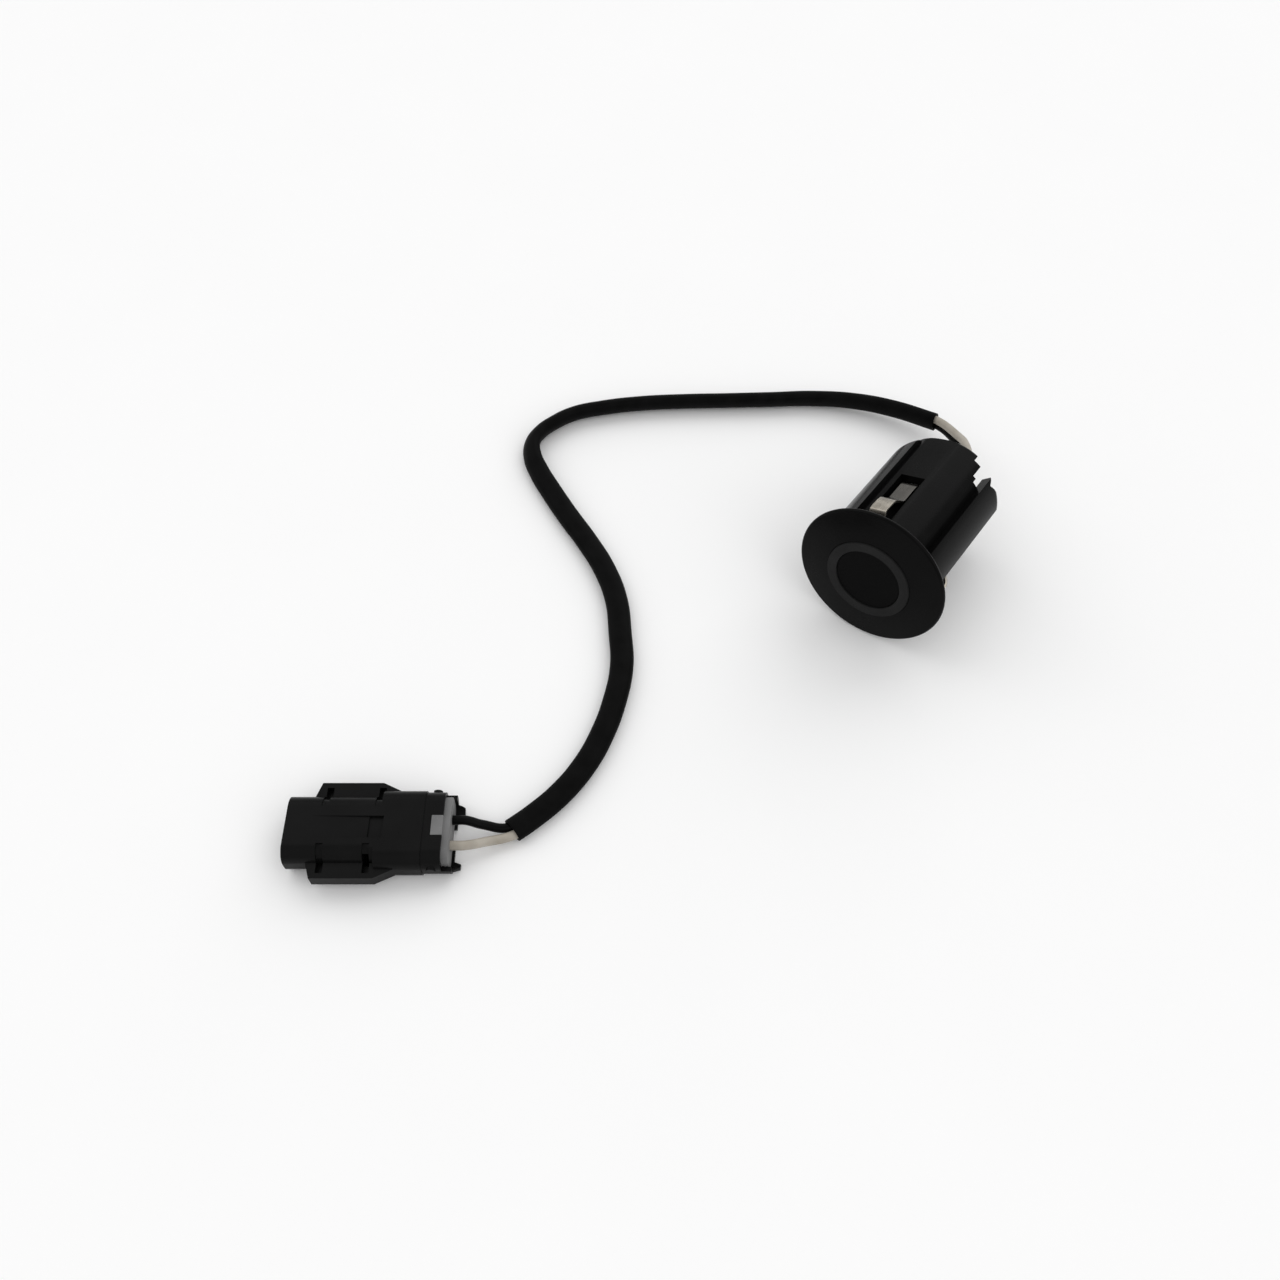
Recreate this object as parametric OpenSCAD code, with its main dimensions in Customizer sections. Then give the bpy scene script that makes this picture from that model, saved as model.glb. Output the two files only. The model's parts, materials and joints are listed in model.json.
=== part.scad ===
// Ultrasonic parking sensor with its lead and sealed two-way connector, lying on a table.
// Sensor pieces are drawn round the sensor's axis: z runs from the panel seat to the rear, y points up.
// Connector pieces are drawn along x, from the mouth to the wires, with the table at z = 0.

/* [Bezel] */
// Diameter of the bezel that covers the edge of the hole
bezel_d = 25; // [23:0.5:30]
// Thickness of the bezel's rounded edge
bezel_edge = 0.9; // [0.6:0.1:1.2]
// Height of the face in front of the panel seat
bezel_rise = 1.9; // [1.4:0.1:2.4]
// Thickness of the lip that the housing stops against
lip_t = 1.2; // [0.8:0.1:1.4]

/* [Sleeve] */
// Length of the sleeve behind the panel seat
sleeve_len = 26.1; // [25.4:0.1:28]
// Outer diameter of the sleeve's main wall
sleeve_d = 18.4; // [18:0.1:19]
// Diameter over the raised wings
wing_d = 20; // [19.6:0.1:21]
// Length of the wings behind the panel seat
wing_len = 25.2; // [24.6:0.1:25.6]
// Rounding of the wings' rear corners
wing_corner = 1.8; // [1.4:0.1:2]
// Length of a wing's side beside the notch
wing_short = 22.9; // [22.4:0.1:23.4]
// Slope of a wing's rear edge
wing_slope = 33; // [30:1:40]
// Angle that one wing takes up
wing_angle = 35; // [28:1:37]
// Depth of the flats at the clips, below the main wall
flat_depth = 0.4; // [0.2:0.1:0.6]
// Width of the groove beside each wing
groove_w = 1.5; // [1:0.1:2]
// Depth of the groove beside each wing
groove_depth = 0.8; // [0.4:0.1:0.9]
// Length of the open notch at the rear of each groove
notch_len = 4.4; // [3:0.1:5.5]
// Length of the step beside each notch
step_len = 1.7; // [0.8:0.1:2.2]
// Wall of the sleeve beyond the notches' start
tail_wall = 1.1; // [0.8:0.1:1.4]
// Rounding of the sleeve's rear edge
rear_round = 0.7; // [0.3:0.1:0.8]
// Height of the snap bead behind the housing
bead_h = 0.35; // [0.2:0.05:0.5]

/* [Clips] */
// Width of a spring clip
clip_w = 2.7; // [2:0.1:3.2]
// Thickness of the clip's steel
clip_t = 0.35; // [0.25:0.05:0.45]
// Distance from the panel seat to the catch, the thickest panel that fits
panel_max = 2.8; // [2.4:0.1:3.6]
// Height of the catch over the wings
catch_h = 0.4; // [0.2:0.1:0.8]
// Length of the catch
catch_len = 3.6; // [2.5:0.1:4.5]
// Depth that the catch's front end turns down
catch_lip = 1.1; // [0.6:0.1:1.4]
// Width of a clip's window
window_w = 4.1; // [3.8:0.1:5.2]
// Distance from the panel seat to the rear of a window
window_end = 14.8; // [14.2:0.1:16]
// Length of the clip's tail behind the window
clip_tail = 2.6; // [1.5:0.1:3]

/* [Housing] */
// Outer diameter of the inner housing
housing_d = 15; // [14.8:0.1:15.4]
// Wall of the inner housing
housing_wall = 1.1; // [1:0.05:1.2]
// Thickness of the ledge that carries the board
ledge_t = 1.9; // [1:0.1:2.5]
// Width of the ledge that carries the board
ledge_w = 0.6; // [0.4:0.1:1]
// Height of the housing's rim over the resin
rim_h = 1; // [0.5:0.1:1.5]

/* [Transducer] */
// Length of the transducer cup
cup_len = 6.35; // [5:0.1:7]
// Thickness of the cup's sensing floor
cup_floor = 0.7; // [0.5:0.1:1]
// Wall of the transducer cup
cup_wall = 0.9; // [0.6:0.1:1.2]
// Thickness of the rim at the rear of the cup
cup_rim_t = 1; // [0.6:0.1:1.5]
// Distance from the housing's outside to the edge of the soft ring
ring_inset = 0.425; // [0.3:0.025:0.6]
// Width of the soft ring round the sensing face
ring_w = 1.625; // [1.45:0.025:2]
// Depth of the soft ring's front below the bezel's face
ring_sink = 0.05; // [0:0.05:0.2]
// Depth of the sensing face below the soft ring
face_sink = 0.2; // [0:0.05:0.4]
// Diameter of the ceramic disc
disc_d = 7; // [6:0.1:8]
// Thickness of the ceramic disc
disc_t = 0.4; // [0.2:0.05:0.6]
// Thickness of the damping foam
foam_t = 3.45; // [2:0.1:4]
// Thickness of the fine leads of the disc
fine_lead_d = 0.4; // [0.3:0.05:0.6]
// Spacing of the fine leads
fine_lead_pitch = 4.4; // [3:0.1:5]

/* [Board and resin] */
// Thickness of the terminal board
board_t = 1; // [0.8:0.1:1.6]
// Depth of the poured resin
potting_t = 10; // [8:0.1:10.5]
// Diameter of the capacitor
capacitor_d = 3.2; // [2.5:0.1:3.6]
// Height of the capacitor
capacitor_h = 2.6; // [1.5:0.1:4]
// Distance of the capacitor from the axis
capacitor_offset = 3.4; // [3:0.1:3.8]
// Spacing of the two wires in the resin
exit_pitch = 2; // [1.8:0.1:3]

/* [Lead] */
// Diameter of an insulated wire
wire_d = 1.4; // [1.2:0.05:1.4]
// Width of the flattened vinyl sleeve
cable_w = 3.8; // [3.8:0.05:4.2]
// Thickness of the flattened vinyl sleeve
cable_t = 2.6; // [2.6:0.05:2.8]
// Wall of the vinyl sleeve
cable_wall = 0.25; // [0.2:0.05:0.25]

/* [Connector] */
// Length of the connector housing
plug_len = 24; // [23:0.1:26]
// Height of the connector housing
plug_h = 5.8; // [5.7:0.1:6.6]
// Width of the connector's hood
hood_w = 10.4; // [10:0.1:11]
// Width of the connector's rear body
rear_w = 12.3; // [11.4:0.1:12.6]
// Rounding of the connector's long edges
plug_round = 2.3; // [1.5:0.1:2.6]
// Wall round the connector's socket
plug_wall = 0.7; // [0.6:0.05:0.75]
// Depth of the connector's socket
socket_depth = 9; // [8:0.1:10]
// Thickness of the wall that carries the pins
pin_wall = 2.5; // [1.5:0.1:3]
// Spacing of the two pins
pin_pitch = 4; // [3.6:0.1:4.2]
// Width over the side rails
rail_w = 15; // [14:0.1:16]
// Thickness of the side rails
rail_t = 2.2; // [1.6:0.1:2.6]
// Distance from the mouth to the side rails
rail_start = 4.1; // [3.5:0.1:5]
// Length of the side rails without the slope
rail_len = 9; // [7:0.1:10]
// Length of the slope at the rear of the rails
rail_slope = 2.8; // [1.5:0.1:3.5]
// Width of the latch channel on top
lock_w = 3.4; // [2.6:0.1:3.8]
// Depth of the latch channel on top
lock_depth = 0.25; // [0.15:0.05:0.3]
// Depth of the latch pocket behind the channel
pocket_depth = 0.55; // [0.4:0.05:0.55]
// Distance that the rear's upper half is cut short
top_cut = 1.4; // [1:0.1:1.7]
// Length of the prongs at the rear
prong_len = 1; // [0.6:0.1:1.6]
// Width of a prong at the rear
prong_w = 1.6; // [1:0.1:2]
// Width of the retainer's slots at the rear
slot_w = 3.2; // [2.4:0.1:3.6]
// Length of the retainer's slots at the rear
slot_len = 1.7; // [1.2:0.1:2]

/* [Seals and pins] */
// Outer diameter of a wire seal
seal_d = 3.5; // [3:0.1:3.6]
// Length of a wire seal
seal_len = 4.5; // [3:0.1:5]
// Thickness of the retainer
retainer_t = 3.9; // [3.3:0.1:4.2]
// Diameter of a pin
pin_d = 1; // [0.8:0.1:1.2]
// Length of a pin in the socket
pin_reach = 3; // [2.5:0.1:3]
// Diameter of the crimp behind a pin
crimp_d = 2; // [1.8:0.1:2.4]
// Length of the crimp behind a pin
crimp_len = 3; // [2:0.1:3]

/* [Hidden] */
$fn = 96;
small_fn = 32;

// Clearance between pieces that slide into each other
fit_gap = 0.05;
// Overshoot of a cut past the face it opens
over = 0.5;

// Radii of the sensor
bezel_r = bezel_d / 2;
edge_r = bezel_edge / 2;
sleeve_r = sleeve_d / 2;
wing_r = wing_d / 2;
housing_r = housing_d / 2;
housing_bore_r = housing_r - housing_wall;
bore_r = housing_r + 2 * fit_gap;
ring_r = housing_r - ring_inset;
open_r = ring_r + 2 * fit_gap;
cup_r = ring_r - ring_w;
seat_r = housing_bore_r - fit_gap;
tail_r = sleeve_r - tail_wall;
flat_r = sleeve_r - flat_depth;
catch_r = wing_r + catch_h - clip_t / 2;

// Stations along the sensor's axis, from the panel seat
face_s = -bezel_rise;
lip_s = face_s + lip_t;
ring_s = face_s + ring_sink;
cup_s = ring_s + face_sink;
disc_s = cup_s + cup_floor;
foam_s = disc_s + disc_t;
cup_end_s = cup_s + cup_len;
ring_end_s = cup_end_s - cup_rim_t;
ledge_s = cup_end_s + fit_gap;
board_s = ledge_s + ledge_t;
potting_s = board_s + board_t;
exit_s = potting_s + potting_t;
housing_end_s = exit_s + rim_h;
notch_s = sleeve_len - notch_len;
rear_s = max(sleeve_len, wing_len);

// The pattern round the sleeve repeats three times; angles are counted from a clip
sectors = 3;
sector_angle = 360 / sectors;
clip_roll = 72;
wing_from = -58;
groove_angle = groove_w / sleeve_r * 180 / PI;
notch_extra = 4;
step_angle = 9;
wing_lap = 0.5;
tooth_w = 0.9;
tooth_drop = 1.7;
tooth_s = sleeve_len - tooth_drop;
flat_from = wing_from + wing_angle;
flat_to = 40;
bead_from = 6;
bead_angle = 30;

// Rest on the table: the bezel's edge and the wing below touch it, so the sensor tilts
rest_a = (bezel_r - edge_r) - (wing_r - wing_corner);
rest_b = (wing_len - wing_corner) + edge_r;
rest_tilt = acos((wing_corner - edge_r) / norm([rest_a, rest_b])) - atan2(rest_b, rest_a);
axis_z = (bezel_r - edge_r) * cos(rest_tilt) - edge_r * sin(rest_tilt) + edge_r;
front_reach = bezel_rise * cos(rest_tilt) + open_r * sin(rest_tilt);
rim_r = sleeve_r - rear_round;
rear_reach = (sleeve_len - rear_round) * cos(rest_tilt) + rim_r * sin(rest_tilt) + rear_round;
axis_y = (front_reach - rear_reach) / 2;

// Clip outline: the tail, the strap in the window, the step and the catch
tail_share = 0.75;
strap_drop = 0.7;
crank_end = 0.4;
crank_len = 0.9;
ramp_len = 2.4;
catch_lean = 0.2;
lip_run = 0.4;
window_lead = 0.6;
clip_bend = 0.6;
tail_mid = housing_bore_r + tail_share * housing_wall;
strap_mid = flat_r - strap_drop;
clip_path = [
  [window_end + clip_tail, tail_mid],
  [window_end - crank_end, tail_mid],
  [window_end - crank_end - crank_len, strap_mid],
  [panel_max + catch_len + ramp_len, strap_mid],
  [panel_max + catch_len, catch_r - catch_lean],
  [panel_max + lip_run, catch_r],
  [panel_max, catch_r - catch_lip]
];
window_start = panel_max - window_lead;
tail_floor = tail_mid - clip_t / 2 - fit_gap;

// Connector stations along x and heights
plug_yaw = 35.9;
plug_at = [-47.5, -95.7];
plug_mid = plug_h / 2;
rear_x = rail_start + rail_len;
cavity_x = socket_depth + pin_wall;
retainer_x = plug_len - retainer_t;
seal_x = retainer_x - seal_len;
crimp_end = cavity_x + crimp_len;
rear_wall = 0.9;
cavity_w = rear_w - 2 * rear_wall;
cavity_h = plug_h - 2 * plug_wall;
cavity_round = plug_round - plug_wall;
socket_w = hood_w - 2 * plug_wall;
socket_round = 1;
collar_len = 4.2;
step_x = plug_len - collar_len;
step_depth = 0.15;
top_end = plug_len - top_cut;
slot_x = top_end - slot_len;
bar_t = 0.8;
groove_len = 1;
groove_sink = 0.3;
lock_rise = 0.1;
lock_shift = 0.35;
pocket_lead = 1.1;
pocket_len = 2.1;
prong_pitch = 8.8;
prong_h = 1.4;
nub_d = 1.4;
nub_h = 0.3;
nub_lift = 0.6;
retainer_set = 0.4;
seal_groove = 0.35;

// Route of the vinyl sleeve: place on the table and height above it
cable_route = [
  [-10, 31, 2], [-18, 30.5, 1], [-25, 28.5, 0.5], [-32, 25, 0], [-38.5, 20, 0],
  [-45, 15, 0], [-51.5, 10, 0], [-57.5, 5, 0], [-62.5, 0, 0], [-66, -4.5, 0],
  [-67.5, -8.5, 0], [-68, -11.5, 0], [-67.5, -14.5, 0], [-65.5, -17, 0], [-62.5, -19, 0],
  [-57.5, -21.5, 0], [-52, -24, 0], [-46, -26.5, 0], [-40, -29.5, 0], [-34.5, -33.5, 0],
  [-30, -38.5, 0], [-26, -43.5, 0], [-23, -49.5, 0], [-21, -55.5, 0], [-20, -61, 0],
  [-20, -67, 0], [-21, -72.5, 0], [-22, -76, 0]
];
// The sleeve stands on its edge at the sensor, leans on the far stretch and lies flat near the connector
edge_turn = 80;
lean_turn = 60;
lean_at = 5;
turn_from = 11;
turn_to = 18;
// Free stretches of the two wires, at the sensor and at the connector
white_start = [[1, 15, 9.5], [0.5, 20.5, 9.5], [-1.5, 24.5, 8.5], [-5, 28.5, 6]];
black_start = [[-1, 15, 9.5], [-1, 20, 8.5], [-2, 23.5, 7], [-5, 28.5, 4.5]];
white_finish = [[-24, -80, 2]];
black_finish = [[-26, -78, 2]];
tube_sides = 8;

// Curves and frames of the lead
function unit(v) = v / norm(v);
function heading(p, i) = unit(p[min(i + 1, len(p) - 1)] - p[max(i - 1, 0)]);
function level(t) = unit(cross([0, 0, 1], t));
function turned(t, a) = level(t) * cos(a) + cross(t, level(t)) * sin(a);
function ease(x) = x <= 0 ? 0 : x >= 1 ? 1 : x * x * (3 - 2 * x);
function mix(a, b, x) = a + (b - a) * ease(x);
function turn_at(i) = i < turn_from ? mix(edge_turn, lean_turn, i / lean_at)
  : mix(lean_turn, 0, (i - turn_from) / (turn_to - turn_from));
// Corners of a flattened ring with half axes w and h, turned by a about the heading
function ring_points(p, i, w, h, a) = [
  for (k = [0 : tube_sides - 1])
    let (c = 360 * (k + 0.5) / tube_sides)
    p[i] + w * cos(c) * turned(heading(p, i), a) + h * sin(c) * turned(heading(p, i), a + 90)
];
// Middle line of the sleeve: every ring stands on the table or on its height above it
cable_line = [
  for (i = [0 : len(cable_route) - 1])
    [
      cable_route[i][0],
      cable_route[i][1],
      cable_route[i][2] + max([
        for (k = [0 : tube_sides - 1])
          cable_w / 2 * cos(360 * (k + 0.5) / tube_sides) * sin(turn_at(i))
          + cable_t / 2 * sin(360 * (k + 0.5) / tube_sides) * cos(turn_at(i))
      ])
    ]
];

// Places in the sensor and in the connector, in the table's frame
function sensor_point(x, s) = [
  -x,
  axis_y + s * cos(rest_tilt),
  axis_z - s * sin(rest_tilt)
];
function plug_point(x, y, z) = [
  plug_at[0] + x * cos(plug_yaw) - y * sin(plug_yaw),
  plug_at[1] + x * sin(plug_yaw) + y * cos(plug_yaw),
  z
];

// Whole course of one wire; side is 1 for the white wire and -1 for the black wire
function wire_course(start, finish, side) = concat(
  [
    sensor_point(-side * exit_pitch / 2, potting_s),
    sensor_point(-side * exit_pitch / 2, exit_s),
    sensor_point(-side * exit_pitch / 2, exit_s + 2 * wire_d)
  ],
  start,
  [
    for (i = [0 : len(cable_line) - 1])
      cable_line[i] + side * (wire_d + fit_gap) / 2 * turned(heading(cable_line, i), turn_at(i))
  ],
  finish,
  [
    plug_point(plug_len + wire_d, -side * pin_pitch / 2, plug_mid),
    plug_point(plug_len, -side * pin_pitch / 2, plug_mid),
    plug_point(crimp_end, -side * pin_pitch / 2, plug_mid)
  ]
);

// Side faces of a swept tube whose rings start at point number first
function tube_faces(rings, first) = [
  for (i = [0 : rings - 2])
    for (k = [0 : tube_sides - 1])
      let (
        a = first + i * tube_sides + k,
        b = first + i * tube_sides + (k + 1) % tube_sides,
        c = a + tube_sides,
        d = b + tube_sides
      )
      each [[a, c, d], [a, d, b]]
];
function flipped(faces) = [for (f = faces) [f[2], f[1], f[0]]];

module in_sensor() {
  translate([0, axis_y, axis_z])
    rotate([-rest_tilt, 0, 0])
      rotate([90, 0, 180])
        children();
}

module in_plug() {
  translate([plug_at[0], plug_at[1], 0])
    rotate([0, 0, plug_yaw])
      children();
}

module each_sector() {
  for (i = [0 : sectors - 1])
    rotate([0, 0, clip_roll + i * sector_angle])
      children();
}

// Section of a wall that runs to a rear edge with a rounded outer corner
module rounded_wall(r_in, r_out, length, round_r) {
  translate([r_in, 0])
    square([r_out - r_in - round_r, length]);
  translate([r_in, 0])
    square([r_out - r_in, length - round_r]);
  translate([r_out - round_r, length - round_r])
    circle(round_r, $fn = small_fn);
}

// Section of the bezel: a shallow dome that ends in a rounded edge
module bezel_section() {
  dome_drop = bezel_rise - bezel_edge;
  dome_w = bezel_r - edge_r;
  dome_r = (dome_w * dome_w + dome_drop * dome_drop) / (2 * dome_drop);
  difference() {
    union() {
      intersection() {
        translate([0, dome_r - bezel_rise])
          circle(dome_r, $fn = 360);
        translate([0, face_s])
          square([dome_w, bezel_rise]);
      }
      translate([dome_w, -edge_r])
        circle(edge_r, $fn = small_fn);
    }
    translate([0, face_s - over])
      square([open_r, bezel_rise + 2 * over]);
    translate([open_r, face_s])
      rotate(45)
        square(edge_r, center = true);
  }
}

module bezel_sleeve() {
  color("#1b1b1c")
    in_sensor()
      difference() {
        union() {
          rotate_extrude()
            bezel_section();
          difference() {
            union() {
              rotate_extrude()
                rounded_wall(open_r, sleeve_r, sleeve_len, rear_round);
              each_sector()
                rotate([0, 0, wing_from])
                  rotate_extrude(angle = wing_angle)
                    rounded_wall(open_r, wing_r, wing_len, wing_corner);
            }
            each_sector()
              corner_cut();
          }
        }
        difference() {
          translate([0, 0, lip_s])
            cylinder(r = bore_r, h = rear_s - lip_s + over);
          each_sector()
            rotate([0, 0, bead_from])
              rotate_extrude(angle = bead_angle)
                bead_section();
        }
        translate([0, 0, notch_s - over])
          cylinder(r = tail_r, h = rear_s - notch_s + 2 * over);
        each_sector() {
          flat_cut();
          window_cut();
          groove_cut();
        }
      }
}

// Snap bead inside the sleeve, just behind the housing's rear rim
module bead_section() {
  bead_s = housing_end_s + fit_gap;
  polygon([
    [bore_r - bead_h, bead_s],
    [bore_r + over, bead_s],
    [bore_r + over, bead_s + 3 * bead_h],
    [bore_r, bead_s + 3 * bead_h]
  ]);
}

// Plane cut between a wing and the main wall, where a clip lies
module flat_cut() {
  reach = wing_r + over;
  linear_extrude(rear_s + over)
    polygon([
      [flat_r, flat_r * tan(flat_from)],
      [reach, reach * tan(flat_from)],
      [reach, reach * tan(flat_to)],
      [flat_r, flat_r * tan(flat_to)]
    ]);
}

module window_cut() {
  translate([0, -window_w / 2, window_start])
    cube([wing_r + over, window_w, window_end - window_start]);
}

module groove_cut() {
  rotate([0, 0, wing_from - groove_angle])
    rotate_extrude(angle = groove_angle + wing_lap)
      translate([sleeve_r - groove_depth, 0])
        square([wing_r + over - sleeve_r + groove_depth, rear_s + over]);
  rotate([0, 0, wing_from - groove_angle - notch_extra])
    rotate_extrude(angle = groove_angle + notch_extra + wing_lap)
      translate([tail_r - over, notch_s])
        square([wing_r + 2 * over - tail_r, rear_s - notch_s + over]);
  rotate([0, 0, wing_from - groove_angle - notch_extra - step_angle])
    rotate_extrude(angle = step_angle + over)
      translate([tail_r - over, sleeve_len - step_len])
        square([wing_r + 2 * over - tail_r, step_len + rear_s - sleeve_len + over]);
}

// Sloped rear edge of a wing, which leaves a tooth beside the notch
module corner_cut() {
  inner = tail_r * cos(wing_angle) - over;
  top = rear_s + 2 * over;
  rotate([0, 0, wing_from])
    translate([inner, 0, 0])
      rotate([90, 0, 90])
        linear_extrude(wing_r + 3 * over - inner)
          polygon([
            [-over, tooth_s],
            [0, tooth_s],
            [tooth_w, wing_short],
            [tooth_w + (top - wing_short) / tan(wing_slope), top],
            [-over, top]
          ]);
}

module sensor_housing() {
  color("#232325")
    in_sensor()
      difference() {
        translate([0, 0, lip_s])
          cylinder(r = housing_r, h = housing_end_s - lip_s);
        translate([0, 0, lip_s - over])
          cylinder(r = housing_bore_r, h = ledge_s - lip_s + over);
        translate([0, 0, ledge_s - over])
          cylinder(r = housing_bore_r - ledge_w, h = ledge_t + 2 * over);
        translate([0, 0, board_s])
          cylinder(r = housing_bore_r, h = housing_end_s - board_s + over);
        each_sector()
          translate([tail_floor, -clip_w / 2 - 2 * fit_gap, window_start])
            cube([housing_r, clip_w + 4 * fit_gap, window_end + clip_tail + 2 * fit_gap - window_start]);
      }
}

// One side of the bent strip, offset from its middle line
function strip_side(path, d) = [
  for (i = [0 : len(path) - 1])
    let (
      before = i == 0 ? path[1] - path[0] : path[i] - path[i - 1],
      after = i == len(path) - 1 ? before : path[i + 1] - path[i],
      n1 = unit([-before[1], before[0]]),
      n2 = unit([-after[1], after[0]]),
      m = unit(n1 + n2)
    )
    path[i] + m * d / (m * n1)
];
// Corners of a path cut back and rounded by three points each
function rounded_path(path, r) = concat(
  [path[0]],
  [
    for (i = [1 : len(path) - 2])
      let (
        a = path[i] + unit(path[i - 1] - path[i]) * r,
        c = path[i] + unit(path[i + 1] - path[i]) * r
      )
      for (t = [0, 0.5, 1])
        a * (1 - t) * (1 - t) + path[i] * 2 * t * (1 - t) + c * t * t
  ],
  [path[len(path) - 1]]
);
function reversed(p) = [for (i = [len(p) - 1 : -1 : 0]) p[i]];

module spring_clip(number) {
  middle = rounded_path(clip_path, clip_bend);
  outline = concat(strip_side(middle, clip_t / 2), reversed(strip_side(middle, -clip_t / 2)));
  color("#b9b3a6")
    in_sensor()
      rotate([0, 0, clip_roll + (number - 1) * sector_angle])
        translate([0, clip_w / 2, 0])
          rotate([90, 0, 0])
            linear_extrude(clip_w)
              polygon([for (p = outline) [p[1], p[0]]]);
}

module decoupling_ring() {
  color("#3c3c3e")
    in_sensor()
      difference() {
        union() {
          translate([0, 0, ring_s])
            cylinder(r = ring_r, h = lip_s - ring_s);
          translate([0, 0, ring_s])
            cylinder(r = seat_r, h = ring_end_s - ring_s);
        }
        translate([0, 0, ring_s - over])
          cylinder(r = cup_r + fit_gap, h = ring_end_s - ring_s + 2 * over);
      }
}

module transducer_cup() {
  color("#202022")
    in_sensor()
      difference() {
        union() {
          translate([0, 0, cup_s])
            cylinder(r = cup_r, h = cup_len);
          translate([0, 0, ring_end_s])
            cylinder(r = seat_r, h = cup_rim_t);
        }
        translate([0, 0, disc_s])
          cylinder(r = cup_r - cup_wall, h = cup_len);
      }
}

module piezo_disc() {
  color("#c9bfa2")
    in_sensor()
      translate([0, 0, disc_s])
        cylinder(d = disc_d, h = disc_t);
}

module damping_foam() {
  color("#59595c")
    in_sensor()
      difference() {
        translate([0, 0, foam_s])
          cylinder(r = cup_r - cup_wall - fit_gap, h = foam_t);
        for (side = [-1, 1])
          translate([side * fine_lead_pitch / 2, 0, foam_s - over])
            cylinder(d = fine_lead_d + 2 * fit_gap, h = foam_t + 2 * over);
      }
}

module piezo_lead(side) {
  color("#b98a4a")
    in_sensor()
      translate([side * fine_lead_pitch / 2, 0, foam_s])
        cylinder(d = fine_lead_d, h = board_s - foam_s);
}

module terminal_board() {
  color("#2f5a3a")
    in_sensor()
      translate([0, 0, board_s])
        cylinder(r = seat_r, h = board_t);
}

module tuning_capacitor() {
  color("#c7a04a")
    in_sensor()
      translate([0, capacitor_offset, potting_s])
        cylinder(d = capacitor_d, h = capacitor_h);
}

module potting() {
  color("#2a2a2c")
    in_sensor()
      difference() {
        translate([0, 0, potting_s])
          cylinder(r = seat_r, h = potting_t);
        translate([0, capacitor_offset, potting_s - over])
          cylinder(d = capacitor_d + 2 * fit_gap, h = capacitor_h + fit_gap + over);
        for (side = [-1, 1])
          translate([side * exit_pitch / 2, 0, potting_s - over])
            cylinder(d = wire_d + 2 * fit_gap, h = potting_t + 2 * over);
      }
}

// Solid tube swept along a course, with a flat face at each end
module swept_wire(course) {
  rings = len(course);
  last = (rings - 1) * tube_sides;
  polyhedron(
    [for (i = [0 : rings - 1]) each ring_points(course, i, wire_d / 2, wire_d / 2, 0)],
    concat(
      tube_faces(rings, 0),
      [[for (k = [0 : tube_sides - 1]) k]],
      [[for (k = [0 : tube_sides - 1]) last + tube_sides - 1 - k]]
    ),
    convexity = 10
  );
}

module white_wire() {
  color("#d9d4c8")
    swept_wire(wire_course(white_start, white_finish, 1));
}

module black_wire() {
  color("#161617")
    swept_wire(wire_course(black_start, black_finish, -1));
}

module cable_sleeve() {
  rings = len(cable_line);
  inner = rings * tube_sides;
  in_w = cable_w / 2 - cable_wall;
  in_t = cable_t / 2 - cable_wall;
  last = (rings - 1) * tube_sides;
  color("#151516")
    polyhedron(
      concat(
        [for (i = [0 : rings - 1]) each ring_points(cable_line, i, cable_w / 2, cable_t / 2, turn_at(i))],
        [for (i = [0 : rings - 1]) each ring_points(cable_line, i, in_w, in_t, turn_at(i))]
      ),
      concat(
        tube_faces(rings, 0),
        flipped(tube_faces(rings, inner)),
        end_faces(0, inner),
        flipped(end_faces(last, inner + last))
      ),
      convexity = 10
    );
}
// Ring of faces that closes one end of a hollow tube
function end_faces(outer, inner) = [
  for (k = [0 : tube_sides - 1])
    let (m = (k + 1) % tube_sides)
    each [[outer + k, outer + m, inner + m], [outer + k, inner + m, inner + k]]
];

// Flat oval with rounded corners
module oval(width, height, round_r) {
  square([width, height - 2 * round_r], center = true);
  square([width - 2 * round_r, height], center = true);
  for (side = [-1, 1], end = [-1, 1])
    translate([side * (width / 2 - round_r), end * (height / 2 - round_r)])
      circle(round_r, $fn = small_fn);
}

// Draws a section along the connector from one station to another
module along(from, to) {
  translate([from, 0, plug_mid])
    rotate([90, 0, 90])
      linear_extrude(to - from)
        children();
}

module plug_housing() {
  color("#1d1d1e")
    in_plug()
      difference() {
        union() {
          along(0, rear_x + rail_slope)
            oval(hood_w, plug_h, plug_round);
          along(rear_x, step_x)
            oval(rear_w, plug_h, plug_round);
          along(step_x - over, plug_len)
            oval(rear_w - 2 * step_depth, plug_h - 2 * step_depth, plug_round);
          side_rails();
          side_nubs();
          rear_prongs();
        }
        along(-over, socket_depth)
          oval(socket_w, cavity_h, socket_round);
        along(cavity_x, plug_len + prong_len + over)
          oval(cavity_w, cavity_h, cavity_round);
        for (side = [-1, 1])
          translate([0, side * pin_pitch / 2, plug_mid])
            rotate([0, 90, 0])
              cylinder(d = pin_d + 2 * fit_gap, h = cavity_x + over);
        translate([slot_x, -slot_w / 2, -over])
          cube([plug_len - slot_x + over, slot_w, plug_h + 2 * over]);
        translate([top_end, -rear_w / 2, plug_mid])
          cube([top_cut + over, rear_w, plug_h]);
        rail_grooves();
        latch_channel();
      }
}

// Rails along both sides, square at the front and sloped at the rear
module side_rails() {
  translate([0, 0, plug_mid - rail_t / 2])
    linear_extrude(rail_t)
      for (side = [-1, 1])
        polygon([
          [rail_start - bar_t, side * (hood_w / 2 - plug_round)],
          [rail_start - bar_t, side * hood_w / 2],
          [rail_start, side * rail_w / 2],
          [rear_x, side * rail_w / 2],
          [rear_x + rail_slope, side * rear_w / 2],
          [rear_x + rail_slope, side * (rear_w / 2 - plug_round)]
        ]);
}

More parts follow.
